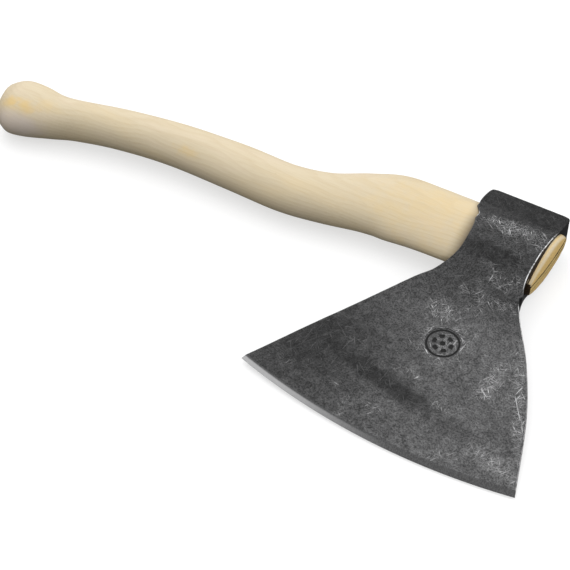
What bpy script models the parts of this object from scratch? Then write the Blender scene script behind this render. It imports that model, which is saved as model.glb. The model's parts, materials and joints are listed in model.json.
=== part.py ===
"""Hatchet: a forged steel head on a curved, unvarnished wooden handle, spread in the eye by a wooden wedge.

Axe frame: +X runs along the handle, from its knob to the top of the head, +Y points to the poll, the cutting
edge is at -Y, and Z is the thickness, with the blade's middle plane at Z = 0. X = 0 is close to the head's top
end, and Y = 0 is close to the poll's back. The whole axe then lies on its side on the bench, resting on its knob,
the lower cheek of its eye and its cutting edge.
"""

import math

import bpy
import bmesh
from mathutils import Matrix, Vector

# Driving dimensions, in metres unless the name says otherwise.
MM = 0.001
FIT_GAP = 0.3 * MM
RING_POINTS = 40
HANDLE_STEP = 7.5 * MM

NECK_Y = -75 * MM
EDGE_SAG = 11.1 * MM
EDGE_HALF_THICKNESS = 0.15 * MM
SIDE_THINNING = 0.22
SIDE_CHAMFER = 0.8 * MM
HEAD_COLUMNS = 17
HEAD_STEPS = 5

EYE_EGG = 0.2
EYE_EGG_FADE = 60 * MM
TENON_BLUNT = 2.6 * MM
CUTTER_REACH = 8 * MM

KERF_DEPTH = 42 * MM
KERF_ROOT = 1.4 * MM
KERF_MOUTH = 4.4 * MM
WEDGE_CLEAR_OF_ROOT = 3 * MM
WEDGE_PROUD = 0.4 * MM
WEDGE_COLUMNS = 8

STAMP_CENTRE = (-28.4 * MM, -126.4 * MM)
STAMP_RADIUS = 11.5 * MM
STAMP_DEPTH = 0.5 * MM
STAMP_CUTTER_HEIGHT = 4 * MM

REST_ROLL_DEG = 4.94
REST_PITCH_DEG = 0.43

# The head's outline, from the poll to the cutting edge, in millimetres:
# heel side x, y, toe side x, y, half thickness.
POLL_ROWS = (
    (-48.0, 3.8, -8.0, 3.8, 8.4),
    (-53.4, 2.8, -2.4, 2.8, 9.4),
)
BODY_ROWS = (
    (-56.2, -0.3, 0.4, -0.3, 10.3),
    (-57.2, -14.0, 0.0, -14.0, 12.2),
    (-53.0, -28.0, -1.0, -28.0, 14.6),
    (-50.4, -44.0, -2.6, -44.0, 15.7),
    (-51.6, -60.0, -3.0, -60.0, 11.4),
    (-58.8, -75.5, 0.6, -75.5, 6.8),
    (-68.0, -88.0, 5.8, -88.0, 5.3),
    (-85.4, -116.5, 23.2, -116.5, 3.6),
    (-107.4, -153.5, 40.0, -153.5, 2.7),
    (-129.5, -191.7, 55.2, -201.9, 1.5),
)
EDGE_ROW = (-130.9, -195.2, 56.4, -206.0, EDGE_HALF_THICKNESS / MM)

# The handle's stations, in millimetres: centre line x, y, half height, half thickness.
KNOB_END = (-390.6, -81.0)
GRIP_STATIONS = (
    (-387.5, -80.6, 16.8, 12.0),
    (-379.0, -79.0, 22.3, 15.0),
    (-366.0, -77.2, 21.4, 15.3),
    (-350.0, -74.8, 17.0, 14.4),
    (-334.0, -70.5, 14.8, 13.6),
    (-304.0, -63.0, 15.4, 13.0),
    (-262.0, -57.0, 16.6, 13.0),
    (-216.0, -55.5, 18.4, 13.2),
    (-178.0, -55.8, 18.6, 13.6),
    (-150.0, -50.8, 19.8, 14.0),
    (-124.0, -41.2, 24.4, 14.0),
    (-106.0, -36.5, 27.8, 13.9),
    (-84.0, -35.0, 27.4, 13.3),
)
# The eye: centre y, half height and half thickness at the handle's side and at the head's top.
EYE_BOTTOM = (-61.0, -34.8, 27.0, 12.7)
EYE_TOP = (3.0, -35.1, 28.7, 12.0)
# The tenon's sections along the eye, and its sawn end: where it is, how it slopes with y, and its crown.
TENON_STATIONS = (-61, -46, -30, -14, -6, -2)
TENON_END_X = 4.4
TENON_END_SLOPE = 0.06
TENON_CROWN = 1.4
# The rings that round the tenon's end: size, and how far behind the sawn end, in millimetres.
TENON_END_ROUNDING = ((1.0, 2.4), (0.97, 1.1), (0.88, 0.3), (0.6, 0.0), (0.25, 0.0))
# The rings that round the knob's end: size, and how far from the first station to the end.
KNOB_ROUNDING = ((0.35, 1.0), (0.75, 0.72))


def clear_scene():
    for item in list(bpy.data.objects):
        bpy.data.objects.remove(item, do_unlink=True)


def make_material(name, colour, roughness, metallic):
    material = bpy.data.materials.new(name)
    material.use_nodes = True
    shader = material.node_tree.nodes["Principled BSDF"]
    shader.inputs["Base Color"].default_value = (*colour, 1.0)
    shader.inputs["Roughness"].default_value = roughness
    shader.inputs["Metallic"].default_value = metallic
    return material


def make_object(name, mesh_builder, material=None):
    """A new object from a bmesh, which it frees."""
    mesh = bpy.data.meshes.new(name)
    bmesh.ops.recalc_face_normals(mesh_builder, faces=mesh_builder.faces)
    mesh_builder.to_mesh(mesh)
    mesh_builder.free()
    item = bpy.data.objects.new(name, mesh)
    bpy.context.scene.collection.objects.link(item)
    if material:
        mesh.materials.append(material)
    return item


def make_cutter(name, mesh_builder):
    cutter = make_object(name, mesh_builder)
    cutter.hide_render = True
    cutter.display_type = "WIRE"
    return cutter


def cut(item, cutter):
    modifier = item.modifiers.new(cutter.name, "BOOLEAN")
    modifier.operation = "DIFFERENCE"
    modifier.solver = "EXACT"
    modifier.object = cutter


def shade(item, sharp_angle_deg):
    item.data.shade_smooth()
    item.data.set_sharp_from_angle(angle=math.radians(sharp_angle_deg))


def spline(rows, index, share):
    """A point on the Catmull-Rom curve through the rows, a share of the way from one row to the next."""
    before = rows[max(index - 1, 0)]
    start = rows[index]
    end = rows[index + 1]
    after = rows[min(index + 2, len(rows) - 1)]
    point = []
    for p0, p1, p2, p3 in zip(before, start, end, after):
        bend = 2 * p0 - 5 * p1 + 4 * p2 - p3
        twist = 3 * p1 - p0 - 3 * p2 + p3
        point.append(p1 + 0.5 * share * (p2 - p0 + share * (bend + share * twist)))
    return tuple(point)


def loft(rings):
    """A closed body over rings that have the same number of points, capped at both ends."""
    builder = bmesh.new()
    lines = [[builder.verts.new(point) for point in ring] for ring in rings]
    count = len(lines[0])
    for near, far in zip(lines, lines[1:]):
        for i in range(count):
            j = (i + 1) % count
            builder.faces.new((near[i], near[j], far[j], far[i]))
    builder.faces.new(lines[0])
    builder.faces.new(lines[-1])
    return builder


# The head


def head_rows():
    """The rows of the head's outline, smoothed from the poll to the shoulder of the bevel."""
    rows = list(POLL_ROWS)
    for index in range(len(BODY_ROWS) - 1):
        for step in range(HEAD_STEPS):
            rows.append(spline(BODY_ROWS, index, step / HEAD_STEPS))
    rows.append(BODY_ROWS[-1])
    rows.append(EDGE_ROW)
    return rows


def head_ring(row):
    """One closed ring of the head: its upper face from heel to toe, then its lower face back."""
    heel_x, heel_y, toe_x, toe_y, half = (value * MM for value in row)
    width = toe_x - heel_x
    blade_share = min(1.0, max(0.0, (heel_y - NECK_Y) / (EDGE_ROW[1] * MM - NECK_Y)))
    chamfer = min(SIDE_CHAMFER, 0.4 * half)
    inset = chamfer / width
    shares = [0.0] + [inset + (1 - 2 * inset) * i / (HEAD_COLUMNS - 1) for i in range(HEAD_COLUMNS)] + [1.0]
    upper = []
    for share in shares:
        across = 2 * share - 1
        height = half * (1 - SIDE_THINNING * blade_share * across**4)
        if share in (0.0, 1.0):
            height = height - chamfer
        x = heel_x + width * share
        y = heel_y + (toe_y - heel_y) * share - EDGE_SAG * blade_share * (1 - across**2)
        upper.append((x, y, height))
    lower = [(x, y, -height) for x, y, height in reversed(upper)]
    return upper + lower


def eye_section(x, centre, half_height, half_thickness, margin=0.0, blunt=0.0):
    """The egg-shaped section of the eye, pointed towards the blade. The margin makes it smaller all round."""
    points = []
    lowest = centre - half_height + margin + blunt
    for i in range(RING_POINTS):
        angle = 2 * math.pi * i / RING_POINTS
        y = centre + (half_height - margin) * math.cos(angle)
        z = (half_thickness - margin) * math.sin(angle) * (1 + EYE_EGG * math.cos(angle))
        points.append(Vector((x, max(y, lowest), z)))
    return points


def eye_at(x):
    """The eye's centre, half height and half thickness at a place along the handle, all in metres."""
    bottom_x, *bottom = (value * MM for value in EYE_BOTTOM)
    top_x, *top = (value * MM for value in EYE_TOP)
    share = (x - bottom_x) / (top_x - bottom_x)
    return tuple(low + (high - low) * share for low, high in zip(bottom, top))


def make_eye_cutter():
    start = EYE_BOTTOM[0] * MM - CUTTER_REACH
    end = EYE_TOP[0] * MM + CUTTER_REACH
    return make_cutter("eye_cutter", loft([eye_section(x, *eye_at(x)) for x in (start, end)]))


def make_stamp_cutter():
    """A shallow round recess in the blade's upper face, square to that face."""
    thick, thin = BODY_ROWS[-3], BODY_ROWS[-2]
    slope = (thick[4] - thin[4]) / (thick[1] - thin[1])
    half = (thick[4] + slope * (STAMP_CENTRE[1] / MM - thick[1])) * MM
    middle = Vector((*STAMP_CENTRE, half - STAMP_DEPTH + STAMP_CUTTER_HEIGHT / 2))
    builder = bmesh.new()
    turn = Matrix.Translation(middle) @ Matrix.Rotation(math.atan(slope), 4, "X")
    bmesh.ops.create_cone(
        builder,
        cap_ends=True,
        segments=40,
        radius1=STAMP_RADIUS,
        radius2=STAMP_RADIUS,
        depth=STAMP_CUTTER_HEIGHT,
        matrix=turn,
    )
    return make_cutter("stamp_cutter", builder)


def make_head(material):
    head = make_object("axe_head", loft([head_ring(row) for row in head_rows()]), material)
    eye_cutter = make_eye_cutter()
    stamp_cutter = make_stamp_cutter()
    cut(head, eye_cutter)
    cut(head, stamp_cutter)
    shade(head, 28)
    return [head, eye_cutter, stamp_cutter]


# The handle


def grip_rings():
    """The handle's rings from the knob to the shoulder, each square to the curved centre line."""
    eye_mouth = EYE_BOTTOM[:2] + tuple(value - FIT_GAP / MM for value in EYE_BOTTOM[2:])
    stations = [tuple(value * MM for value in station) for station in GRIP_STATIONS + (eye_mouth,)]
    spots = []
    for index in range(len(stations) - 1):
        length = stations[index + 1][0] - stations[index][0]
        count = max(2, round(length / HANDLE_STEP))
        spots.extend(spline(stations, index, step / count) for step in range(count))
    rings = []
    for index, (x, y, half_height, half_thickness) in enumerate(spots):
        before = spots[max(index - 1, 0)]
        after = spots[min(index + 1, len(spots) - 1)]
        along = Vector((after[0] - before[0], after[1] - before[1], 0)).normalized()
        across = Vector((-along.y, along.x, 0))
        egg = EYE_EGG * max(0.0, 1 + (x - EYE_BOTTOM[0] * MM) / EYE_EGG_FADE)
        ring = []
        for i in range(RING_POINTS):
            angle = 2 * math.pi * i / RING_POINTS
            rise = half_thickness * math.sin(angle) * (1 + egg * math.cos(angle))
            ring.append(Vector((x, y, rise)) + across * (half_height * math.cos(angle)))
        rings.append(ring)
    return rings


def knob_cap(first_ring):
    """The smaller rings that round off the knob's end."""
    end = Vector((KNOB_END[0] * MM, KNOB_END[1] * MM, 0))
    centre = sum(first_ring, Vector()) / len(first_ring)
    rings = []
    for shrink, reach in KNOB_ROUNDING:
        middle = centre.lerp(end, reach)
        rings.append([middle + (point - centre) * shrink for point in first_ring])
    return rings


def tenon_end(y, z):
    """The tenon's sawn end: nearly parallel to the head's top, and crowned in both directions."""
    _, centre, half_height, half_thickness = EYE_TOP
    bow = ((y / MM - centre) / half_height) ** 2 + (z / MM / half_thickness) ** 2
    return (TENON_END_X + TENON_END_SLOPE * y / MM - TENON_CROWN * bow) * MM


def tenon_rings():
    rings = []
    for x in TENON_STATIONS:
        blunt = TENON_BLUNT * (1 - x / TENON_STATIONS[0])
        rings.append(eye_section(x * MM, *eye_at(x * MM), FIT_GAP, blunt))
    last = rings[-1]
    middle = sum(last, Vector()) / len(last)
    for size, back in TENON_END_ROUNDING:
        ring = []
        for point in last:
            y = middle.y + (point.y - middle.y) * size
            z = point.z * size
            ring.append(Vector((tenon_end(y, z) - back * MM, y, z)))
        rings.append(ring)
    return rings


def kerf_half_width(x):
    root_x = TENON_END_X * MM - KERF_DEPTH
    share = (x - root_x) / KERF_DEPTH
    return 0.5 * (KERF_ROOT + (KERF_MOUTH - KERF_ROOT) * share)


def make_kerf_cutter():
    """The saw cut for the wedge: right through the tenon's height, and opened towards its end."""
    root_x = TENON_END_X * MM - KERF_DEPTH
    _, centre, half_height, _ = (value * MM for value in EYE_TOP)
    top = centre + half_height + CUTTER_REACH
    bottom = centre - half_height - CUTTER_REACH
    rings = []
    for x in (root_x, TENON_END_X * MM + CUTTER_REACH):
        half = kerf_half_width(x)
        corners = ((top, half), (top, -half), (bottom, -half), (bottom, half))
        rings.append([Vector((x, y, z)) for y, z in corners])
    return make_cutter("kerf_cutter", loft(rings))


def make_handle(material):
    grip = grip_rings()
    handle = make_object("handle", loft(knob_cap(grip[0]) + grip + tenon_rings()), material)
    kerf_cutter = make_kerf_cutter()
    cut(handle, kerf_cutter)
    shade(handle, 40)
    return [handle, kerf_cutter]


# The wedge


def wedge_ring(x, is_end):
    """The wedge's section at a place along the kerf. At its end, it follows the tenon's crown."""
    centre, half_height, _ = eye_at(x)
    top = centre + half_height - 2.5 * FIT_GAP
    bottom = centre - half_height + TENON_BLUNT + FIT_GAP
    upper = []
    for i in range(WEDGE_COLUMNS + 1):
        y = top + (bottom - top) * i / WEDGE_COLUMNS
        place = tenon_end(y, 0.0) + WEDGE_PROUD if is_end else x
        upper.append(Vector((place, y, kerf_half_width(place) - FIT_GAP)))
    return upper + [Vector((point.x, point.y, -point.z)) for point in reversed(upper)]


def make_wedge(material):
    """The wedge fills the kerf, a fit gap clear of its walls and of the eye, and stands just proud of the tenon."""
    thin_x = TENON_END_X * MM - KERF_DEPTH + WEDGE_CLEAR_OF_ROOT
    wedge = make_object("wedge", loft([wedge_ring(thin_x, False), wedge_ring(0.0, True)]), material)
    shade(wedge, 30)
    return [wedge]


# The rest pose


def lie_on_bench(pieces):
    """Parents the pieces to an empty that lays the axe on its side, its box centred over the origin."""
    rest = bpy.data.objects.new("rest_pose", None)
    bpy.context.scene.collection.objects.link(rest)
    roll = Matrix.Rotation(math.radians(REST_ROLL_DEG), 4, "X")
    pitch = Matrix.Rotation(math.radians(REST_PITCH_DEG), 4, "Y")
    turn = roll @ pitch
    solids = [piece for piece in pieces if not piece.hide_render]
    corners = [turn @ vertex.co for solid in solids for vertex in solid.data.vertices]
    low = [min(corner[axis] for corner in corners) for axis in range(3)]
    high = [max(corner[axis] for corner in corners) for axis in range(3)]
    shift = Vector((-(low[0] + high[0]) / 2, -(low[1] + high[1]) / 2, -low[2]))
    rest.matrix_world = Matrix.Translation(shift) @ turn
    for piece in pieces:
        piece.parent = rest


def main():
    clear_scene()
    steel = make_material("forged_steel", (0.105, 0.105, 0.11), 0.5, 0.9)
    ash = make_material("pale_ash", (0.76, 0.66, 0.47), 0.6, 0.0)
    wedge_wood = make_material("wedge_wood", (0.62, 0.47, 0.25), 0.65, 0.0)
    pieces = make_head(steel)
    pieces += make_handle(ash)
    pieces += make_wedge(wedge_wood)
    lie_on_bench(pieces)


main()
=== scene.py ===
"""Looks for the hatchet: a dark forged head, a pale unvarnished handle and its wooden wedge."""

import json
import math

import bpy
import bmesh
import numpy as np
from mathutils import Matrix, Vector, noise


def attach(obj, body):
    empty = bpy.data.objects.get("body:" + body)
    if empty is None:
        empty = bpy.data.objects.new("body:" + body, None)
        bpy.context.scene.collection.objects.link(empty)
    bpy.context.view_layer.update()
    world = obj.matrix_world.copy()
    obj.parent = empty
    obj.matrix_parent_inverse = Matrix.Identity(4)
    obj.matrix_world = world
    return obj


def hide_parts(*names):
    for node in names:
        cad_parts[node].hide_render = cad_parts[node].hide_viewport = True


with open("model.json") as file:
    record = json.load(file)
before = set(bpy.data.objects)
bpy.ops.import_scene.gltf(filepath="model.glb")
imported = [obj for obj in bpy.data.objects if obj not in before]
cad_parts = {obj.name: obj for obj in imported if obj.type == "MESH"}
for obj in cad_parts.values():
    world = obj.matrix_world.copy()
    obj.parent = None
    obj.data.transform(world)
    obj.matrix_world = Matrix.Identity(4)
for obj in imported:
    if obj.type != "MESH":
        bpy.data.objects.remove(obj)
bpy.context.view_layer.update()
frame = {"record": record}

# Axe frame, as in the CAD: +X along the handle to the top of the head, +Y to the poll, Z through the
# thickness, with the blade's middle plane at Z = 0. Lengths are in millimetres unless said otherwise.
MM = 0.001
REST_ROLL_DEG = 4.94
REST_PITCH_DEG = 0.43
POLL_CENTRE = Vector((-28.0, 3.8, 0.0)) * MM

# Head outline, from the poll to the edge: heel side x, y, toe side x, y, half thickness.
FORGED_ROWS = (
    (-48.0, 3.8, -8.0, 3.8, 8.4),
    (-53.4, 2.8, -2.4, 2.8, 9.4),
    (-56.2, -0.3, 0.4, -0.3, 10.3),
    (-57.2, -14.0, 0.0, -14.0, 12.2),
    (-53.0, -28.0, -1.0, -28.0, 14.6),
    (-50.4, -44.0, -2.6, -44.0, 15.7),
    (-51.6, -60.0, -3.0, -60.0, 11.4),
    (-58.8, -75.5, 0.6, -75.5, 6.8),
    (-68.0, -88.0, 5.8, -88.0, 5.3),
    (-85.4, -116.5, 23.2, -116.5, 3.6),
    (-107.4, -153.5, 40.0, -153.5, 2.7),
    (-129.5, -191.7, 55.2, -201.9, 1.5),
)
EDGE_ROW = (-130.9, -195.2, 56.4, -206.0, 0.12)
EDGE_SAG = 11.1
NECK_Y = -75.0
SIDE_THINNING = 0.22
ROW_STEP = 1.3
HEAD_COLUMNS = 110
SIDE_COLUMNS = 9
BEVEL_STEPS = 6
BEVEL_BREAK = 0.01
RIM_RADIUS = 0.8
RIM_STEPS = 4

# The head's attribute of bare metal and painted shade says how much metal shows: from BARE_BEVEL to 1 on the
# ground bevel, up to BARE_RUBBED on rubbed rims, 0 on plain forge scale, and less on the sunk mark's darker
# scale.
# Further below 0 it is painted shade, darkening the eye's end faces, the mark's sides and grooves and, at
# -1, the eye.
BARE_BEVEL = 0.96
BARE_BEVEL_RISE = 2.4
BARE_RUBBED = 0.9
BARE_MOUTH_RIM = 0.2
BARE_END_FACE_SHADE = -0.68
BARE_STAMP_SIDE = -0.5
BARE_STAMP_FLOOR = -0.35
BARE_STAMP_GROOVES_SHADE = -1.0
BARE_EYE_SHADE = -1.0

# The forged faces' unevenness, as depth, size of the features and seed. It is all set inwards by the inset,
# and fades out where the blade gets thinner than FULL_RELIEF_HALF to either side of its middle plane.
FORGED_UNEVENNESS = ((0.17, 17.0, 0.0), (0.08, 6.0, 3.7), (0.05, 2.6, 8.1))
FORGED_INSET = 0.2
FULL_RELIEF_HALF = 3.0
PIT_DEPTH = 0.12
PIT_SIZE = 3.4
PIT_THRESHOLD = 0.35
CREASE_DEPTH = 0.22
CREASE_Y = -13.5
CREASE_SWAY = 2.0
CREASE_WIDTH = 2.6
WALL_UNEVENNESS = 0.12

# Wear along the upper rims, as shift of the rim along X, place y and half width. The handle's mouth has a
# lip, a chip and a smaller lip; at the top of the eye the rim is dubbed back, with a lip at the neck.
MOUTH_WEAR = ((-0.9, -19.0, 3.0), (1.0, -25.5, 4.0), (-0.5, -31.5, 2.0))
TOP_WEAR = ((-1.4, -24.0, 28.0), (0.8, -70.5, 3.5))
NECK_FOLD_DEPTH = 1.5

STAMP_CENTRE = (-28.4, -126.4)
STAMP_RADIUS = 11.5
STAMP_FLARE = 1.4
STAMP_SINK = 0.32
STAMP_BASE_INSET = 0.15
STAMP_CUTTER_HEIGHT = 3.0
# Deeper features of the mark, as extra depth, radius at the middle and half width; the dot's are two radii.
STAMP_GROOVE = (0.5, 10.2, 1.3)
STAMP_PETALS = (0.6, 5.6, 2.4)
STAMP_DOT = (0.5, 1.3, 2.0)
STAMP_RINGS = 44
STAMP_SIDES = 144

# Handle stations: centre line x, y, half height, half thickness.
KNOB_END = (-390.6, -81.0)
GRIP_STATIONS = (
    (-387.5, -80.6, 16.8, 12.0),
    (-379.0, -79.0, 22.3, 15.0),
    (-366.0, -77.2, 21.4, 15.3),
    (-350.0, -74.8, 17.0, 14.4),
    (-334.0, -70.5, 14.8, 13.6),
    (-304.0, -63.0, 15.4, 13.0),
    (-262.0, -57.0, 16.6, 13.0),
    (-216.0, -55.5, 18.4, 13.2),
    (-178.0, -55.8, 18.6, 13.6),
    (-150.0, -50.8, 19.8, 14.0),
    (-124.0, -41.2, 24.4, 14.0),
    (-106.0, -36.5, 27.8, 13.9),
    (-84.0, -35.0, 27.4, 13.3),
)
# The knob's rounded end, as size of the ring and share of the way to the end.
KNOB_ROUNDING = ((0.08, 1.0), (0.3, 1.0), (0.55, 0.92), (0.75, 0.72), (0.9, 0.4))
EYE_BOTTOM = (-61.0, -34.8, 27.0, 12.7)
EYE_TOP = (3.0, -35.1, 28.7, 12.0)
EYE_EGG = 0.2
EYE_CUTTER_ENDS = (-70.0, 12.0)
EYE_CUTTER_RINGS = 30
# The grip turns egg-shaped over this length, and its hand-shaped dents fade out between two places.
EGG_RUN = 60.0
DENTS_FADE = (-75.0, -63.0)
EYE_POINTS = 120
GRIP_STEP = 1.6
DENT_DEPTH = 0.16
DENT_INSET = 0.12

TENON_STATIONS = (-61, -46, -30, -18, -12, -8, -5, -3.4, -2)
# From here to the end of the eye the tenon's sides are darkened as painted shade.
TENON_SHADE_FROM_X = -50
TENON_MARGIN = 0.06
TENON_SHRINK = 0.45
TENON_SHRINK_RUN = (-20.0, -2.0)
TENON_BLUNT = 4.6
TENON_END_X = 4.4
TENON_END_SLOPE = 0.06
TENON_CROWN = 1.4
TENON_ROUNDING = 3.2
TENON_ROUNDING_STEPS = 7
TENON_ROUNDING_INSET = 0.16
TENON_TALL_INSET = 0.3
TENON_TALL_RATIO = 1.133
SAWN_UNEVENNESS = 0.15
TENON_END_INSET = 0.1
WEDGE_END_INSET = 0.2

KERF_DEPTH = 42.0
KERF_ROOT = 1.4
KERF_MOUTH = 4.4
KERF_LIFT = 0.9
KERF_CUTTER_TOP = 12.0
KERF_CUTTER_SIDES = (5.0, -75.0)
WEDGE_STATIONS = (TENON_END_X - KERF_DEPTH + 3.0, -25.0, -12.0, -4.0)
WEDGE_MARGIN = 0.7
WEDGE_GAP = 1.7
WEDGE_GAP_TAPER = 0.3
WEDGE_UNEVENNESS = 0.12
WEDGE_SEAT = 0.05
WEDGE_COLUMNS = 40
WEDGE_END_COLOUR_DEPTH = 0.05

# The widest angle between faces that still shades smoothly.
HEAD_SMOOTH_DEG = 40
HANDLE_SMOOTH_DEG = 45
WEDGE_SMOOTH_DEG = 35

# The camera, in the axe frame, with its distance in metres.
CAMERA_TARGET = Vector((-136.9, -130.8, 0.0)) * MM
CAMERA_AZIMUTH_DEG = 29.57
CAMERA_ELEVATION_DEG = 49.0
CAMERA_DISTANCE = 1.075
CAMERA_LENS = 107.4
SENSOR = 36.0

# Lights: direction, distance and size in metres, power in watts.
LIGHTS = {
    "key": ((-0.45, 0.38, 0.8), 2.0, 1.9, 10.5),
    "rim": ((0.75, 0.5, 0.45), 1.6, 0.6, 4.0),
    "back": ((-0.6, 0.8, 0.3), 1.8, 1.4, 7.0),
}
DOME_STRENGTH = 1.28
HORIZON_STRENGTH = 0.17
DOME_FULL_HEIGHT = 0.8
FLOOR_HALF_SIZE = 60.0
FLOOR_DROP = 0.0001
FLOOR_GREY = 0.36
FLOOR_GLOW = 0.62


def rest_matrix():
    """Axe frame to row frame: the tilt of the rest pose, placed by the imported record's poll face."""
    mount = next(m for m in frame["record"]["mounts"] if m["name"] == "poll_face")
    roll = Matrix.Rotation(math.radians(REST_ROLL_DEG), 4, "X")
    turn = roll @ Matrix.Rotation(math.radians(REST_PITCH_DEG), 4, "Y")
    return Matrix.Translation(Vector(mount["pos_m"]) - turn @ POLL_CENTRE) @ turn


REST = rest_matrix()


# Mesh helpers


def spline(rows, index, share):
    """A point on the Catmull-Rom curve through the rows, a share of the way from one row to the next."""
    before = rows[max(index - 1, 0)]
    start = rows[index]
    end = rows[index + 1]
    after = rows[min(index + 2, len(rows) - 1)]
    point = []
    for p0, p1, p2, p3 in zip(before, start, end, after):
        bend = 2 * p0 - 5 * p1 + 4 * p2 - p3
        twist = 3 * p1 - p0 - 3 * p2 + p3
        point.append(p1 + 0.5 * share * (p2 - p0 + share * (bend + share * twist)))
    return tuple(point)


def smooth(low, high, value):
    """0 at low and before it, 1 at high and beyond it, smooth between. Low may be the larger number."""
    share = min(1.0, max(0.0, (value - low) / (high - low)))
    return share * share * (3 - 2 * share)


def bump(centre, width, value):
    """1 at the centre, falling smoothly to 0 at the given width to either side."""
    return 1 - smooth(0.0, width, abs(value - centre))


def noise_at(x, y, z, size, seed=0.0):
    """Smooth noise between about -1 and 1, with features of the given size, in the units of x, y and z."""
    return noise.noise(Vector((x / size + seed, y / size - seed, z / size + 2 * seed)))


def tube_object(name, rings, attribute, values):
    """A closed tube over rings of points, capped at both ends. The attribute has a value for each point."""
    count = len(rings[0])
    points = [REST @ (Vector(point) * MM) for ring in rings for point in ring]
    faces = []
    for row in range(len(rings) - 1):
        a = row * count
        for i in range(count):
            j = (i + 1) % count
            faces.append((a + i, a + j, a + count + j, a + count + i))
    faces.append(tuple(range(count - 1, -1, -1)))
    faces.append(tuple(range((len(rings) - 1) * count, len(rings) * count)))
    mesh = bpy.data.meshes.new(name)
    mesh.from_pydata(points, [], faces)
    corner_vertices = np.empty(len(mesh.loops), np.int32)
    mesh.loops.foreach_get("vertex_index", corner_vertices)
    point_values = np.array([value for ring in values for value in ring], np.float32)
    corners = mesh.attributes.new(attribute, "FLOAT", "CORNER")
    corners.data.foreach_set("value", point_values[corner_vertices])
    builder = bmesh.new()
    builder.from_mesh(mesh)
    bmesh.ops.recalc_face_normals(builder, faces=builder.faces)
    builder.to_mesh(mesh)
    builder.free()
    item = bpy.data.objects.new(name, mesh)
    bpy.context.scene.collection.objects.link(item)
    return item


def carve(item, cutter):
    """Cuts the cutter out of the item, keeps the result as the item's mesh, and removes the cutter."""
    modifier = item.modifiers.new("carve", "BOOLEAN")
    modifier.operation = "DIFFERENCE"
    modifier.solver = "EXACT"
    modifier.object = cutter
    bpy.context.view_layer.update()
    graph = bpy.context.evaluated_depsgraph_get()
    result = bpy.data.meshes.new_from_object(item.evaluated_get(graph))
    item.modifiers.clear()
    old = item.data
    item.data = result
    bpy.data.meshes.remove(old)
    bpy.data.objects.remove(cutter, do_unlink=True)


def finish_piece(item, node, material, smooth_deg):
    """Gives the piece its material and shading, puts it under the root body, and hides the CAD part that it
    replaces.
    """
    item.data.materials.clear()
    item.data.materials.append(material)
    item.data.shade_smooth()
    item.data.set_sharp_from_angle(angle=math.radians(smooth_deg))
    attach(item, "root")
    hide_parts(node)


# The head


def head_rows():
    """Rows of the outline, each with its least bare value: 0 on the forged body, nearly 1 on the bevel."""
    rows = []
    for index in range(len(FORGED_ROWS) - 1):
        row, following = FORGED_ROWS[index : index + 2]
        length = max(math.dist(row[i : i + 2], following[i : i + 2]) for i in (0, 2))
        steps = math.ceil(length / ROW_STEP)
        rows += [(spline(FORGED_ROWS, index, step / steps), 0.0) for step in range(steps)]
    shoulder = FORGED_ROWS[-1]
    rows.append((shoulder, 0.0))
    for share in [BEVEL_BREAK] + [step / BEVEL_STEPS for step in range(1, BEVEL_STEPS + 1)]:
        row = tuple(a + (b - a) * share for a, b in zip(shoulder, EDGE_ROW))
        rows.append((row, BARE_BEVEL + (1 - BARE_BEVEL) * min(1.0, BARE_BEVEL_RISE * share)))
    return rows


def mouth_rim_shift(y):
    """How far the upper rim of the handle's mouth is pushed in or stands out."""
    return sum(shift * bump(place, width, y) for shift, place, width in MOUTH_WEAR)


def top_rim_shift(y):
    """How far the upper rim is moved at the top of the eye, with a fold where the blade's side begins."""
    fold = NECK_FOLD_DEPTH * smooth(-72.3, -73.8, y) * smooth(-84.0, -75.0, y)
    return sum(shift * bump(place, width, y) for shift, place, width in TOP_WEAR) - fold


def rim_wear(is_toe, y):
    """How brightly the upper rim is rubbed on one side of the head, from 0 to 1."""
    if is_toe:
        along_eye = min(1.0, 2.5 * bump(-42.0, 34.0, y))
        along_blade = smooth(-76.0, -80.0, y) * (0.5 + 0.5 * smooth(-110.0, -90.0, y))
        return BARE_RUBBED * max(along_eye, along_blade)
    return max(BARE_MOUTH_RIM, BARE_RUBBED * bump(-26.5, 5.0, y))


def forged_relief(x, y, z, half):
    """Hammered unevenness of the forged faces, nearly all of it inwards, with a crease along the poll."""
    uneven = sum(depth * noise_at(x, y, z, size, seed) for depth, size, seed in FORGED_UNEVENNESS)
    pits = PIT_DEPTH * max(0.0, noise_at(x, y, z, PIT_SIZE, 15.3) - PIT_THRESHOLD)
    crease_y = CREASE_Y + CREASE_SWAY * noise_at(x, 0.0, z, 14.0, 5.0)
    crease = CREASE_DEPTH * bump(crease_y, CREASE_WIDTH, y)
    return (uneven - pits - FORGED_INSET) * min(1.0, half / FULL_RELIEF_HALF) - crease


def face_places(width, radius):
    """Places across one face: the share of the way from heel to toe, and the drop at the round rims."""
    turns = [math.pi / 2 * step / RIM_STEPS for step in range(RIM_STEPS, -1, -1)]
    heel_rim = [(radius * (1 - math.sin(a)) / width, radius * (1 - math.cos(a))) for a in turns]
    inset = radius / width
    flat = [(inset + (1 - 2 * inset) * i / HEAD_COLUMNS, 0.0) for i in range(1, HEAD_COLUMNS)]
    return heel_rim + flat + [(1 - share, drop) for share, drop in reversed(heel_rim)]


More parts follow.
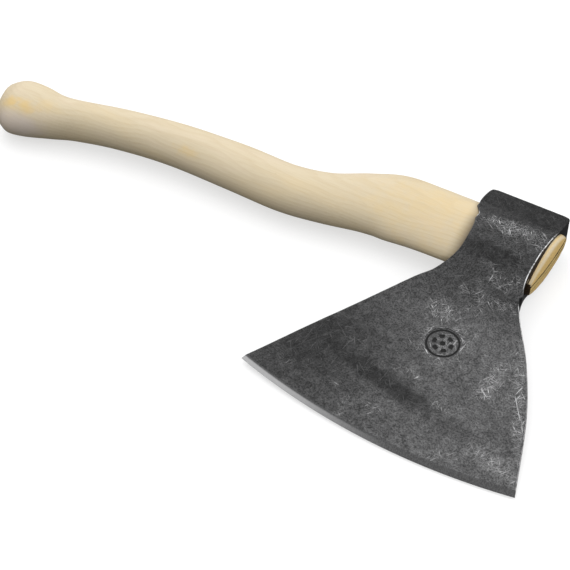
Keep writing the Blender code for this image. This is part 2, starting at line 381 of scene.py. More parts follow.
def head_ring(row, bare_and_shade):
    """A ring of the head's section: over the upper face to the toe, down the toe side, and back below.

    Returns its points and the bare value of each.
    """
    heel_x, heel_y, toe_x, toe_y, half = row
    blade_share = min(1.0, max(0.0, (heel_y - NECK_Y) / (EDGE_ROW[1] - NECK_Y)))
    radius = min(RIM_RADIUS, 0.45 * half)
    width = toe_x - heel_x
    places = face_places(width, radius)
    points = []
    marks = []
    for side in (1, -1):
        run = []
        for share, drop in places:
            across = 2 * share - 1
            x = heel_x + width * share
            y = heel_y + (toe_y - heel_y) * share - EDGE_SAG * blade_share * (1 - across**2)
            height = half * (1 - SIDE_THINNING * blade_share * across**4) - drop
            height += forged_relief(x, y, side * height, half) * (1 - bare_and_shade)
            wear = 0.0
            if side > 0:
                x += mouth_rim_shift(heel_y) * (1 - smooth(0.0, 0.12, share))
                x += top_rim_shift(toe_y) * smooth(0.9, 1.0, share)
                wear = rim_wear(share > 0.5, toe_y) if 0.02 * radius < drop < 0.8 * radius else 0.0
            run.append(((x, y, side * height), max(bare_and_shade, wear)))
        if side < 0:
            run.reverse()
        points += [point for point, _ in run]
        marks += [mark for _, mark in run]
        # The wall between the upper and the lower rim: the end faces of the eye, darkened with painted
        # shade, or the side of the blade.
        rim_x, rim_y, rim_z = run[-1][0]
        wall_x = toe_x if side > 0 else heel_x
        wall_mark_and_shade = max(bare_and_shade, BARE_END_FACE_SHADE * (1 - smooth(-76.0, -90.0, rim_y)))
        wall_depth = min(1.0, half / FULL_RELIEF_HALF) * WALL_UNEVENNESS
        for i in range(1, SIDE_COLUMNS):
            z = rim_z * (1 - 2 * i / SIDE_COLUMNS)
            back = wall_depth * (1 + noise_at(wall_x, rim_y, z, 3.0, 5.0))
            fade = (1 - i / SIDE_COLUMNS) if side > 0 else i / SIDE_COLUMNS
            points.append((rim_x * fade + wall_x * (1 - fade) - side * back, rim_y, z))
            marks.append(wall_mark_and_shade)
    return points, marks


def eye_ring(x, margin=0.0, blunt=0.0):
    """The eye's egg-shaped section at x, smaller all round by the margin and cut off below by blunt."""
    share = (x - EYE_BOTTOM[0]) / (EYE_TOP[0] - EYE_BOTTOM[0])
    centre, half_height, half_thickness = (a + (b - a) * share for a, b in zip(EYE_BOTTOM[1:], EYE_TOP[1:]))
    lowest = centre - half_height + margin + blunt
    ring = []
    for i in range(EYE_POINTS):
        angle = 2 * math.pi * i / EYE_POINTS
        y = centre + (half_height - margin) * math.cos(angle)
        z = (half_thickness - margin) * math.sin(angle) * (1 + EYE_EGG * math.cos(angle))
        ring.append((x, max(y, lowest), z))
    return ring


def stamp_depth(radius, angle):
    """Depth of the round mark: a sunk disc with a groove round it, six plain petals and a centre dot."""
    groove = STAMP_GROOVE[0] * bump(*STAMP_GROOVE[1:], radius)
    petals = STAMP_PETALS[0] * smooth(0.5, 0.8, abs(math.cos(3 * angle))) * bump(*STAMP_PETALS[1:], radius)
    dot = STAMP_DOT[0] * (1 - smooth(*STAMP_DOT[1:], radius))
    return STAMP_SINK + groove + petals + dot


def stamp_point(radius, angle, z):
    return (STAMP_CENTRE[0] + radius * math.cos(angle), STAMP_CENTRE[1] + radius * math.sin(angle), z)


def make_stamp_cutter():
    """A round cutter whose underside is the relief of the mark, laid along the blade's upper face.

    Its bare values are negative: the mark's floor keeps a darker scale, and its sides and grooves are
    darkened towards near black as painted shade.
    """
    thick, thin = FORGED_ROWS[-3], FORGED_ROWS[-2]
    slope = (thick[4] - thin[4]) / (thick[1] - thin[1])
    surface = thick[4] + slope * (STAMP_CENTRE[1] - thick[1]) - STAMP_BASE_INSET
    turns = [2 * math.pi * i / STAMP_SIDES for i in range(STAMP_SIDES)]
    rings = [[stamp_point(STAMP_RADIUS + STAMP_FLARE, a, surface + STAMP_CUTTER_HEIGHT) for a in turns]]
    marks = [[BARE_STAMP_SIDE] * STAMP_SIDES]
    deepening = BARE_STAMP_GROOVES_SHADE - BARE_STAMP_FLOOR
    for step in range(STAMP_RINGS, -1, -1):
        radius = STAMP_RADIUS * max(step, 0.3) / STAMP_RINGS
        depths = [stamp_depth(radius, a) for a in turns]
        heights = [surface + slope * radius * math.sin(a) - depth for a, depth in zip(turns, depths)]
        rings.append([stamp_point(radius, a, z) for a, z in zip(turns, heights)])
        marks.append([BARE_STAMP_FLOOR + deepening * smooth(0.4, 0.75, depth) for depth in depths])
    return tube_object("stamp_cutter", rings, "bare_and_shade", marks)


def make_head(material):
    rings = []
    marks = []
    for row, bare_and_shade in head_rows():
        points, ring_marks = head_ring(row, bare_and_shade)
        rings.append(points)
        marks.append(ring_marks)
    head = tube_object("head_forged", rings, "bare_and_shade", marks)
    eye = [eye_ring(x) for x in np.linspace(*EYE_CUTTER_ENDS, EYE_CUTTER_RINGS)]
    # The inside of the eye is darkened as painted shade.
    carve(head, tube_object("eye_cutter", eye, "bare_and_shade", [[BARE_EYE_SHADE] * EYE_POINTS for _ in eye]))
    carve(head, make_stamp_cutter())
    finish_piece(head, "axe_head", material, HEAD_SMOOTH_DEG)


# The handle and the wedge. Their attribute of end grain and painted shade is 1 on sawn ends, 0 on the shaped
# sides, and below 0, down to -1, where the wood is darkened as painted shade: inside the eye, by its rim, on
# the kerf's walls and the wedge's sides.


def tenon_end(y, z):
    """The x of the tenon's sawn end: crowned in both directions."""
    _, centre, half_height, half_thickness = EYE_TOP
    bow = ((y - centre) / half_height) ** 2 + (z / half_thickness) ** 2
    return TENON_END_X + TENON_END_SLOPE * y - TENON_CROWN * bow


def sawn_unevenness(y, z):
    return SAWN_UNEVENNESS * noise_at(y, z, 0, 3.0, 4.0)


def grip_rings():
    """Rings from the knob to the eye, square to the centre line, with the unevenness of hand shaping."""
    mouth = EYE_BOTTOM[:2] + tuple(value - TENON_MARGIN for value in EYE_BOTTOM[2:])
    stations = GRIP_STATIONS + (mouth,)
    spots = []
    for index in range(len(stations) - 1):
        count = max(3, round((stations[index + 1][0] - stations[index][0]) / GRIP_STEP))
        spots.extend(spline(stations, index, step / count) for step in range(count))
    rings = []
    for index, (x, y, half_height, half_thickness) in enumerate(spots):
        before = spots[max(index - 1, 0)]
        after = spots[min(index + 1, len(spots) - 1)]
        along = Vector((after[0] - before[0], after[1] - before[1], 0)).normalized()
        across = Vector((-along.y, along.x, 0))
        egg = EYE_EGG * max(0.0, 1 + (x - EYE_BOTTOM[0]) / EGG_RUN)
        fade = 1 - smooth(*DENTS_FADE, x)
        ring = []
        for i in range(EYE_POINTS):
            angle = 2 * math.pi * i / EYE_POINTS
            rough = noise_at(x / 4, 9 * math.cos(angle), 9 * math.sin(angle), 6.0, 1.3)
            dent = fade * (DENT_DEPTH * rough - DENT_INSET)
            rise = (half_thickness + dent) * math.sin(angle) * (1 + egg * math.cos(angle))
            ring.append(Vector((x, y, rise)) + across * ((half_height + dent) * math.cos(angle)))
        rings.append(ring)
    return rings


def knob_cap(first_ring):
    """Smaller rings that round off the knob's end."""
    end = Vector((*KNOB_END, 0))
    centre = sum(first_ring, Vector()) / len(first_ring)
    rings = []
    for shrink, reach in KNOB_ROUNDING:
        middle = centre.lerp(end, reach)
        rings.append([middle + (point - centre) * shrink for point in first_ring])
    return rings


def tenon_profile():
    """The rounding and the face of the tenon's end, as rings of size, set back and value of end grain and
    painted shade. The rounding's first ring is darkened as painted shade by the eye's rim, and its middle is
    pale as a painted highlight, with end-grain colour to either side.
    """
    profile = [(1.0, TENON_ROUNDING, -0.4)]
    for step in range(1, TENON_ROUNDING_STEPS + 1):
        turn = math.pi / 2 * step / TENON_ROUNDING_STEPS
        size = 1 - TENON_ROUNDING_INSET * (1 - math.cos(turn))
        profile.append((size, TENON_ROUNDING * (1 - math.sin(turn)), 0.2 * abs(4 - step)))
    return profile + [(0.75, 0.0, 0.9), (0.6, 0.0, 1.0), (0.3, 0.0, 1.0), (0.08, 0.0, 1.0)]


def tenon_rings():
    """Rings of the tenon, with its values of end grain and painted shade. Its upper side is rounded more
    than its lower one. Inside the eye, and on the blunt cut below its rounding, the wood is darkened as
    painted shade.
    """
    rings = []
    marks = []
    for x in TENON_STATIONS:
        margin = TENON_MARGIN + TENON_SHRINK * smooth(*TENON_SHRINK_RUN, x)
        rings.append(eye_ring(x, margin, TENON_BLUNT * (1 - x / EYE_BOTTOM[0])))
        marks.append([-1.0 if x > TENON_SHADE_FROM_X else 0.0] * EYE_POINTS)
    last = [Vector(point) for point in rings[-1]]
    middle = sum(last, Vector()) / len(last)
    lowest = min(point.y for point in last) + 0.01
    for size, back, mark in tenon_profile():
        tall_size = min(1 - TENON_TALL_INSET * (1 - size), TENON_TALL_RATIO * size)
        ring = []
        for point in last:
            y = middle.y + (point.y - middle.y) * tall_size
            z = point.z * (size if point.z > 0 else tall_size)
            set_back = back * (0.3 + 0.7 * smooth(-5.0, 3.0, z))
            ring.append((tenon_end(y, z) - set_back + sawn_unevenness(y, z) - TENON_END_INSET, y, z))
        rings.append(ring)
        marks.append([-1.0 if back > 0.5 and point.y < lowest else mark for point in last])
    return rings, marks


def kerf_half_width(x):
    share = (x - (TENON_END_X - KERF_DEPTH)) / KERF_DEPTH
    return 0.5 * (KERF_ROOT + (KERF_MOUTH - KERF_ROOT) * share)


def make_handle(material):
    grip = grip_rings()
    tenon, tenon_marks = tenon_rings()
    body = knob_cap(grip[0]) + grip
    marks = [[0.0] * EYE_POINTS for _ in body] + tenon_marks
    handle = tube_object("handle_wood", body + tenon, "end_grain_and_shade", marks)
    kerf = []
    high, low = KERF_CUTTER_SIDES
    for x in (TENON_END_X - KERF_DEPTH, KERF_CUTTER_TOP):
        half = kerf_half_width(x)
        upper = half + KERF_LIFT
        kerf.append([(x, high, upper), (x, high, -half), (x, low, -half), (x, low, upper)])
    # The kerf's walls are darkened as painted shade.
    carve(handle, tube_object("kerf_cutter", kerf, "end_grain_and_shade", [[-1.0] * 4] * 2))
    finish_piece(handle, "handle", material, HANDLE_SMOOTH_DEG)


def wedge_ring(x, set_back=None):
    """A ring of the wedge, over its upper side and back below, at x.

    Where set_back is given, the ring lies that far inside the sawn end instead, with its section from x.
    """
    lower = -kerf_half_width(x) + WEDGE_SEAT
    upper = kerf_half_width(x) + KERF_LIFT - WEDGE_GAP
    heights = [point[1] for point in eye_ring(x, WEDGE_MARGIN, TENON_BLUNT)]
    ring = []
    for side in (1, -1):
        for i in range(WEDGE_COLUMNS + 1):
            share = i / WEDGE_COLUMNS if side > 0 else 1 - i / WEDGE_COLUMNS
            y = max(heights) + (min(heights) - max(heights)) * share
            z = upper + WEDGE_GAP_TAPER * share + WEDGE_UNEVENNESS * noise_at(y, 0, 0, 5.0, 2.0)
            z = z if side > 0 else lower
            end = tenon_end(y, z) + sawn_unevenness(y, z) - WEDGE_END_INSET
            ring.append((x if set_back is None else end - set_back, y, z))
    return ring


def make_wedge(material):
    """The wedge sits tight on the kerf's lower wall, and leaves a narrow gap along its upper wall. Its sides
    are darkened as painted shade; only its sawn end keeps the end-grain colour.
    """
    rings = [wedge_ring(x) for x in WEDGE_STATIONS]
    rings += [wedge_ring(0.0, WEDGE_END_COLOUR_DEPTH), wedge_ring(0.0, 0.0)]
    marks = [[-1.0] * len(ring) for ring in rings[:-1]] + [[1.0] * len(rings[-1])]
    wedge = tube_object("wedge_driven", rings, "end_grain_and_shade", marks)
    finish_piece(wedge, "wedge", material, WEDGE_SMOOTH_DEG)


# Materials


class Look:
    """Builds a material's node tree. Each call adds nodes and returns an output of the last one."""

    def __init__(self, name):
        self.material = bpy.data.materials.new(name)
        self.material.use_nodes = True
        self.tree = self.material.node_tree
        self.shader = self.tree.nodes["Principled BSDF"]

    def plug(self, value, socket):
        """Links an output to the socket, or sets the socket to a number or colour."""
        if isinstance(value, bpy.types.NodeSocket):
            self.tree.links.new(value, socket)
        else:
            socket.default_value = value

    def add(self, kind, inputs, output=0, **settings):
        node = self.tree.nodes.new(kind)
        for key, value in settings.items():
            setattr(node, key, value)
        for key, value in inputs.items():
            self.plug(value, node.inputs[key])
        return node.outputs[output]

    def math(self, operation, a, b=0.0, c=0.0):
        return self.add("ShaderNodeMath", {0: a, 1: b, 2: c}, operation=operation)

    def linear(self, value, factor, offset):
        """The value times the factor, plus the offset."""
        return self.math("MULTIPLY_ADD", value, factor, offset)

    def product(self, *values):
        result = values[0]
        for value in values[1:]:
            result = self.math("MULTIPLY", result, value)
        return result

    def inverse(self, value, share=1.0):
        """1 less a share of the value."""
        return self.linear(value, -share, 1.0)

    def axe_place(self):
        """The place in the axe frame, in millimetres."""
        spot = self.add("ShaderNodeTexCoord", {}, 3)
        rest = {"Location": REST.translation, "Rotation": REST.to_euler(), "Scale": (MM, MM, MM)}
        return self.add("ShaderNodeMapping", {"Vector": spot, **rest}, vector_type="TEXTURE")

    def parts(self, vector):
        """The X, Y and Z of a vector."""
        node = self.tree.nodes.new("ShaderNodeSeparateXYZ")
        self.plug(vector, node.inputs[0])
        return node.outputs

    def moved(self, spot, scale=(1.0, 1.0, 1.0), turn_deg=0.0, shift=(0.0, 0.0, 0.0)):
        """The place turned about Z and shifted, and then stretched."""
        turn = {"Vector": spot, "Rotation": (0.0, 0.0, math.radians(turn_deg)), "Location": shift}
        turned = self.add("ShaderNodeMapping", turn)
        return self.add("ShaderNodeMapping", {"Vector": turned, "Scale": scale})

    def noise(self, spot, scale, detail=2.0, roughness=0.5):
        inputs = {"Vector": spot, "Scale": scale, "Detail": detail, "Roughness": roughness}
        return self.add("ShaderNodeTexNoise", inputs)

    def ramp(self, value, low, high):
        """0 at low, 1 at high, smooth between. Low may be the larger number."""
        return self.add("ShaderNodeMapRange", {0: value, 1: low, 2: high}, interpolation_type="SMOOTHSTEP")

    def mix(self, share, a, b):
        """The colour that is a share of the way from a to b."""
        return self.add("ShaderNodeMix", {0: share, 6: a, 7: b}, 2, data_type="RGBA")

    def shade(self, share, a, b):
        """The number that is a share of the way from a to b."""
        return self.add("ShaderNodeMix", {0: share, 2: a, 3: b}, 0, data_type="FLOAT")

    def spot(self, place, centre, size, turn_deg=0.0, raggedness=0.0, solid=0.35):
        """1 in the middle of an ellipse, out to a solid share of its size, and 0 from its ragged edge on."""
        offset = self.add("ShaderNodeVectorMath", {0: place, 1: centre}, operation="SUBTRACT")
        turn = (0.0, 0.0, math.radians(-turn_deg))
        turned = self.add("ShaderNodeMapping", {"Vector": offset, "Rotation": turn})
        scaled = self.add("ShaderNodeVectorMath", {0: turned, 1: size}, operation="DIVIDE")
        length = self.add("ShaderNodeVectorMath", {0: scaled}, 1, operation="LENGTH")
        ragged = self.linear(self.noise(place, 0.16, 3.0), raggedness, -0.5 * raggedness)
        return self.inverse(self.ramp(self.math("ADD", length, ragged), solid, 1.0))

    def regions(self, place, start, ellipses, raggedness, solid):
        """The strongest of a start value and of ellipses of centre, half sizes, turn and strength."""
        strongest = start
        for centre, size, turn_deg, strength in ellipses:
            ellipse = self.spot(place, centre, size, turn_deg, raggedness, solid)
            strongest = self.math("MAXIMUM", strongest, self.product(ellipse, strength))
        return strongest

    def attribute(self, name):
        return self.add("ShaderNodeAttribute", {}, 2, attribute_name=name)

    def finish(self, colour, roughness, height, distance):
        """Plugs in the colour, the roughness and the bump, whose depth is the distance in metres."""
        self.plug(colour, self.shader.inputs["Base Color"])
        self.plug(roughness, self.shader.inputs["Roughness"])
        bumps = {"Height": height, "Distance": distance, "Strength": 0.6}
        self.plug(self.add("ShaderNodeBump", bumps), self.shader.inputs["Normal"])
        return self.material


# Regions of the head in the axe frame, as ellipses of centre, half sizes, turn in degrees and strength.
# A half size of 99 takes in the whole thickness. Calm parts are dark and smooth; busy parts are scratched
# and speckled.
CALM_REGIONS = (
    ((-46.0, -169.0, 0.0), (76.0, 11.0, 99.0), -12.0, 1.0),
    ((-104.0, -158.0, 0.0), (62.0, 46.0, 99.0), 0.0, 0.9),
    ((-30.0, -53.0, 13.0), (34.0, 10.0, 30.0), 0.0, 0.9),
)
BUSY_REGIONS = (
    ((-22.0, -28.0, 14.0), (36.0, 11.0, 30.0), 0.0, 1.0),
    ((-28.4, -126.4, 0.0), (25.0, 25.0, 99.0), 0.0, 0.55),
    ((-40.0, -104.0, 5.0), (20.0, 14.0, 99.0), 0.0, 0.5),
    ((10.0, -140.0, 0.0), (12.0, 26.0, 99.0), 0.0, 0.5),
    ((29.0, -140.0, 0.0), (66.0, 6.0, 99.0), -66.7, 0.75),
    ((36.0, -191.0, 0.0), (24.0, 9.0, 99.0), -10.0, 0.5),
    ((-8.0, -84.0, 5.0), (16.0, 8.0, 20.0), 0.0, 0.5),
)
STREAK = ((-46.0, -169.5, 0.0), (70.0, 10.0, 99.0), -12.0)
# Hazes of fine bright scuffs: centre, half sizes, gain in tone.
HAZES = (
    ((-64.0, -114.0, 5.0), (24.0, 15.0, 20.0), 0.016),
    ((38.0, -192.0, 0.0), (24.0, 13.0, 99.0), 0.045),
)
# Hair scratches: direction in degrees, seed.
SCRATCH_LANES = ((8.0, 3.0), (38.0, 11.0), (56.0, 23.0), (97.0, 37.0), (124.0, 53.0), (158.0, 71.0))
SCRATCH_WIDTH = 0.036
STEEL_BUMP_DEPTH = 0.22 * MM

# Tones of the steel, as reflectance.
SCALE_TONE = 0.042
SPECK_TONE = 0.26
SCRATCH_TONE = 0.5
RUBBED_TONE = 0.75
# Painted shade: the near-black tone of the eye's end faces, the mark's grooves and the inside of the eye.
PAINTED_SHADE_TONE = 0.002
GROUND_TONES = (0.05, 0.1)
# Painted highlight on the bevel near the heel.
HEEL_HIGHLIGHT_TONE = 0.36


def grey(value):
    return (value, value, value * 1.01, 1.0)


def hair_scratches(n, spot):
    """1 on thin, broken lines that run in several directions."""
    scratches = 0.0
    for turn, seed in SCRATCH_LANES:
        lane = n.moved(spot, (0.03, 1.2, 0.2), turn, (seed, 2 * seed, 0.0))
        ridge = n.math("ABSOLUTE", n.math("SUBTRACT", n.noise(lane, 1.0, 0.0), 0.5))
        hair = n.inverse(n.ramp(ridge, 0.0, SCRATCH_WIDTH))
        breaks = n.moved(spot, (0.13, 1.1, 0.2), turn, (2 * seed, seed, 0.0))
        stretch = n.ramp(n.noise(breaks, 1.0, 1.0), 0.57, 0.64)
        scratches = n.math("MAXIMUM", scratches, n.product(hair, stretch))
    return scratches


def scale_tone(n, spot, calm, busy, grain):
    """The tone of the forge scale: a base, which patches, grain and regions make brighter or darker, and a
    painted reflection makes brighter towards the blade's toe and edge.
    """
    along, across = n.parts(spot)[:2]
    mottle = n.noise(n.moved(spot, shift=(9.0, 3.0, 0.0)), 0.2, 4.0, 0.65)
    # Painted reflection: the scale is made brighter towards the blade's toe and edge.
    painted_reflection_side = n.product(n.ramp(along, -95.0, 10.0), n.ramp(across, -80.0, -110.0))
    tone = n.product(
        SCALE_TONE,
        n.linear(n.ramp(mottle, 0.32, 0.68), 0.5, 0.75),
        n.linear(n.ramp(grain, 0.35, 0.65), n.inverse(calm, 0.4), n.linear(calm, 0.2, 0.5)),
        n.linear(painted_reflection_side, 0.9, 1.0),
        n.linear(busy, 0.15, 1.0),
        n.inverse(calm, 0.42),
        n.inverse(n.spot(spot, *STREAK, 1.1, 0.1), 0.3),
    )
    for centre, size, gain in HAZES:
        haze = n.product(n.spot(spot, centre, size, 0.0, 0.5, 0.0), n.ramp(grain, 0.2, 0.7), gain)
        tone = n.math("ADD", tone, haze)
    return tone


def bevel_tone(n, spot, bare_and_shade):
    """The tone of the ground bevel, with grinding lines, and a painted highlight that makes it brighter
    towards the edge near the heel.
    """
    along = n.parts(spot)[0]
    lines = n.noise(n.moved(spot, (0.5, 0.06, 1.0), -4.0), 3.0, 3.0, 0.6)
    ground = n.shade(n.ramp(lines, 0.3, 0.7), *GROUND_TONES)
    heel_highlight = n.product(n.ramp(along, -10.0, -110.0), n.ramp(bare_and_shade, 0.975, 1.0), 0.85)
    return n.shade(heel_highlight, ground, HEEL_HIGHLIGHT_TONE)


def steel_material():
    """Dark forge scale, tumbled bright on its high spots, with hair scratches, and a ground bevel."""
    n = Look("forged_steel_look")
    spot = n.axe_place()
    across = n.parts(spot)[1]
    patch = n.noise(n.moved(spot, shift=(31.0, 7.0, 0.0)), 0.045, 4.0, 0.6)
    grain = n.noise(spot, 0.9, 2.0, 0.8)
    bare_and_shade = n.attribute("bare_and_shade")
    scale_left = n.ramp(bare_and_shade, 0.0, -1.0)

    # Painted shade: the band along the poll's upper curve is made calm and darker, for the dimmer light it
    # reflects.
    poll_shade_band = n.ramp(n.linear(patch, 16.0, n.math("ADD", across, -8.0)), -17.0, -13.0)
    calm = n.regions(spot, n.product(poll_shade_band, 0.95), CALM_REGIONS, 1.0, 0.2)
    busy = n.regions(spot, n.product(n.ramp(patch, 0.5, 0.72), 0.4), BUSY_REGIONS, 0.9, 0.1)
    busy = n.product(busy, n.inverse(calm, 0.85))

    tone = scale_tone(n, spot, calm, busy, grain)
    speck = n.ramp(n.linear(busy, 0.1, n.noise(spot, 1.2, 2.0, 0.8)), 0.62, 0.69)
    tone = n.shade(n.product(speck, n.linear(busy, 0.8, 0.15)), tone, SPECK_TONE)
    scratches = n.product(hair_scratches(n, spot), n.inverse(scale_left))
    scratch_share = n.linear(n.ramp(busy, 0.0, 0.5), 0.8, 0.08)
    tone = n.shade(n.product(scratches, scratch_share), tone, SCRATCH_TONE)

    # Rubbed rims, in broken stretches; then a little darker tone below 0, and painted shade towards near
    # black on the eye's end faces, the mark's sides and grooves and the inside of the eye.
    broken = n.ramp(n.noise(spot, 0.45, 4.0, 0.65), 0.3, 0.55)
    tone = n.shade(n.product(n.ramp(bare_and_shade, 0.1, 0.85), broken), tone, RUBBED_TONE)
    tone = n.product(tone, n.inverse(n.ramp(bare_and_shade, 0.0, -0.3), 0.15))
    tone = n.shade(n.ramp(bare_and_shade, -0.38, -0.85), tone, PAINTED_SHADE_TONE)

    bevel = n.ramp(bare_and_shade, 0.9, 0.95)
    tone = n.shade(bevel, tone, bevel_tone(n, spot, bare_and_shade))
    n.plug(n.inverse(scale_left, 0.75), n.shader.inputs["Metallic"])
    rough = n.linear(scale_left, 0.3, n.linear(grain, 0.3, 0.34))
    height = n.math("ADD", n.product(grain, 0.8), n.product(scratches, -0.35))
    height = n.product(height, n.inverse(bevel, 0.8))
    return n.finish(n.mix(tone, grey(0.0), grey(1.0)), rough, height, STEEL_BUMP_DEPTH)


# Colours of the wood, with an opacity of 1: pale early wood, darker late wood, sawn ends. The sawn ends'
# golden end grain is made brighter as painted light on the end faces.
HANDLE_COLOURS = ((0.585, 0.50, 0.35, 1.0), (0.49, 0.385, 0.235, 1.0), (0.95, 0.66, 0.25, 1.0))
WEDGE_COLOURS = ((0.5, 0.38, 0.2, 1.0), (0.4, 0.29, 0.14, 1.0), (0.85, 0.62, 0.24, 1.0))
GOLDEN_TINT = (0.68, 0.52, 0.28, 1.0)
PINKISH_TINT = (0.66, 0.55, 0.44, 1.0)
FLECK_COLOUR = (0.25, 0.17, 0.09, 1.0)
STAIN_COLOUR = (0.66, 0.47, 0.19, 1.0)
BRUISE_COLOUR = (0.56, 0.49, 0.45, 1.0)
KNOB_CUT_COLOUR = (0.42, 0.33, 0.22, 1.0)
# Painted shade for the wood inside the eye, in the kerf and on the wedge's sides.
WOOD_PAINTED_SHADE_COLOUR = (0.05, 0.03, 0.015, 1.0)
SAWN_DARKENING = 0.62
WOOD_BUMP_DEPTH = 0.12 * MM

# Yellow stains on the handle: centre, half sizes, strength. The last one tints the part near the head.
STAINS = (
    ((-366.5, -87.6, 13.0), (13.0, 8.0, 10.0), 0.7),
    ((-377.5, -89.0, 12.0), (10.0, 7.0, 10.0), 0.75),
    ((-352.0, -80.0, 12.0), (16.0, 6.0, 10.0), 0.3),
    ((-248.5, -66.7, 6.0), (12.0, 6.0, 10.0), 0.55),
    ((-85.0, -38.0, 6.0), (60.0, 34.0, 30.0), 0.3),
)
BRUISE = ((-366.0, -98.0, 4.0), (42.0, 11.0, 14.0))


def handle_stains(n, spot, colour):
    """The colour with the handle's yellow stains, a grey bruise under the knob and the knob's rough end."""
    for centre, size, strength in STAINS:
        stain = n.spot(spot, centre, size, 0.0, 1.4, 0.0)
        colour = n.mix(n.product(stain, strength), colour, STAIN_COLOUR)
    colour = n.mix(n.product(n.spot(spot, *BRUISE, 0.0, 0.6, 0.2), 0.7), colour, BRUISE_COLOUR)
    knob_end = n.ramp(n.parts(spot)[0], -378.0, -386.0)
    rough_cut = n.ramp(n.noise(n.moved(spot, (0.5, 1.6, 0.6)), 1.3, 3.0, 0.7), 0.35, 0.7)
    return n.mix(n.product(knob_end, rough_cut, 0.4), colour, KNOB_CUT_COLOUR)


def wood_material(name, colours, is_handle):
    """Straight-grained pale wood: faint growth rings, fibres along the axe's X, flecks and sawn ends."""
    pale, late, end = colours
    n = Look(name)
    spot = n.axe_place()
    _, across, through = n.parts(spot)
    sway = n.noise(n.moved(spot, (0.012, 0.03, 0.03)), 1.0, 2.0)
    depth = n.math("ADD", n.product(through, 0.42), n.product(across, 0.16))
    rings = n.math("FRACT", n.linear(sway, 7.0, depth))
    ring = n.product(n.ramp(rings, 0.35, 0.9), n.inverse(n.ramp(rings, 0.9, 1.0)))
    fibre = n.noise(n.moved(spot, (0.05, 1.0, 1.0)), 1.4, 4.0, 0.65)
    tint = n.noise(n.moved(spot, (0.02, 0.06, 0.06)), 1.0, 3.0)
    fleck = n.noise(n.moved(spot, (0.16, 1.8, 1.8)), 1.0, 1.0)
    colour = n.mix(n.product(ring, 0.24), pale, late)
    colour = n.mix(n.product(n.ramp(fibre, 0.4, 0.75), 0.4), colour, late)
    colour = n.mix(n.product(n.ramp(tint, 0.45, 0.7), 0.25), colour, GOLDEN_TINT)
    colour = n.mix(n.product(n.ramp(tint, 0.5, 0.25), 0.25), colour, PINKISH_TINT)
    colour = n.mix(n.product(n.ramp(fleck, 0.75, 0.82), 0.35), colour, FLECK_COLOUR)
    if is_handle:
        colour = handle_stains(n, spot, colour)
    sawn = n.noise(n.moved(spot, (1.0, 1.0, 2.0)), 1.6, 4.0, 0.7)
    dark_end = tuple(SAWN_DARKENING * part for part in end[:3]) + (1.0,)
    end_grain_and_shade = n.attribute("end_grain_and_shade")
    colour = n.mix(n.ramp(end_grain_and_shade, 0.0, 1.0), colour, n.mix(n.ramp(sawn, 0.3, 0.7), end, dark_end))
    # Painted shade where the values fall below 0.
    colour = n.mix(n.ramp(end_grain_and_shade, 0.0, -1.0), colour, WOOD_PAINTED_SHADE_COLOUR)
    n.shader.inputs["Specular IOR Level"].default_value = 0.3
    height = n.math("ADD", n.product(fibre, 0.7), n.product(ring, 0.3))
    return n.finish(colour, n.linear(fibre, 0.2, 0.5), height, WOOD_BUMP_DEPTH)


def floor_material():
    n = Look("floor_look")
    n.shader.inputs["Base Color"].default_value = (FLOOR_GREY, FLOOR_GREY, FLOOR_GREY, 1.0)
    n.shader.inputs["Emission Color"].default_value = (1.0, 1.0, 1.0, 1.0)
    n.shader.inputs["Emission Strength"].default_value = FLOOR_GLOW
    n.shader.inputs["Roughness"].default_value = 0.9
    return n.material


# The studio


def make_floor():
    builder = bmesh.new()
    bmesh.ops.create_grid(builder, x_segments=1, y_segments=1, size=FLOOR_HALF_SIZE)
    mesh = bpy.data.meshes.new("floor")
    builder.to_mesh(mesh)
    builder.free()
    floor = bpy.data.objects.new("floor", mesh)
    floor.location.z = -FLOOR_DROP
    # No light comes back up from the floor, so the axe's lower sides stay in soft shade.
    floor.visible_diffuse = False
    floor.visible_glossy = False
    bpy.context.scene.collection.objects.link(floor)
    mesh.materials.append(floor_material())


def aim(item, place, target):
    """Puts a light or the camera at a place and turns it to the target."""
    turn = (place - target).to_track_quat("Z", "Y").to_matrix().to_4x4()
    item.matrix_world = Matrix.Translation(place) @ turn


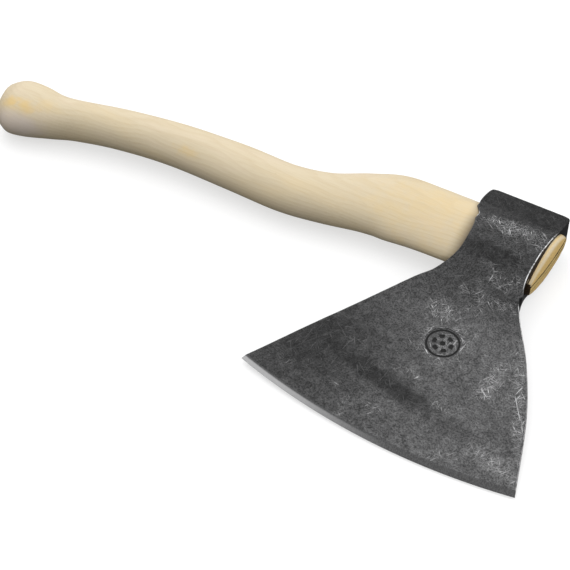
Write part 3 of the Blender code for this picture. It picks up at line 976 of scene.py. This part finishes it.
def make_light(name, direction, distance, size, power):
    data = bpy.data.lights.new(name, "AREA")
    data.shape = "DISK"
    data.size = size
    data.energy = power
    light = bpy.data.objects.new(name, data)
    bpy.context.scene.collection.objects.link(light)
    aim(light, Vector(direction).normalized() * distance, Vector((0.0, 0.0, 0.0)))


def make_world():
    """A soft dome, brightest overhead and dim from the horizon down."""
    world = bpy.data.worlds.new("studio")
    world.use_nodes = True
    tree = world.node_tree
    place = tree.nodes.new("ShaderNodeTexCoord")
    axes = tree.nodes.new("ShaderNodeSeparateXYZ")
    tree.links.new(place.outputs["Generated"], axes.inputs[0])
    rise = tree.nodes.new("ShaderNodeMapRange")
    rise.interpolation_type = "SMOOTHSTEP"
    for index, value in enumerate((0.0, DOME_FULL_HEIGHT, HORIZON_STRENGTH, DOME_STRENGTH), 1):
        rise.inputs[index].default_value = value
    tree.links.new(axes.outputs[2], rise.inputs[0])
    background = tree.nodes["Background"]
    background.inputs["Color"].default_value = (1.0, 1.0, 1.0, 1.0)
    tree.links.new(rise.outputs[0], background.inputs["Strength"])
    bpy.context.scene.world = world


def make_studio():
    for name, values in LIGHTS.items():
        make_light(name, *values)
    make_world()
    bpy.context.scene.view_settings.view_transform = "Standard"


def make_camera():
    azimuth = math.radians(CAMERA_AZIMUTH_DEG)
    elevation = math.radians(CAMERA_ELEVATION_DEG)
    level = math.cos(elevation)
    back = Vector((math.sin(azimuth) * level, -math.cos(azimuth) * level, math.sin(elevation)))
    data = bpy.data.cameras.new("camera")
    data.lens = CAMERA_LENS
    data.sensor_width = SENSOR
    camera = bpy.data.objects.new("camera", data)
    bpy.context.scene.collection.objects.link(camera)
    aim(camera, CAMERA_TARGET + back * CAMERA_DISTANCE, CAMERA_TARGET)
    camera.matrix_world = REST @ camera.matrix_world
    bpy.context.scene.camera = camera


make_camera()
make_studio()
make_floor()
make_head(steel_material())
make_handle(wood_material("handle_wood_look", HANDLE_COLOURS, True))
make_wedge(wood_material("wedge_wood_look", WEDGE_COLOURS, False))
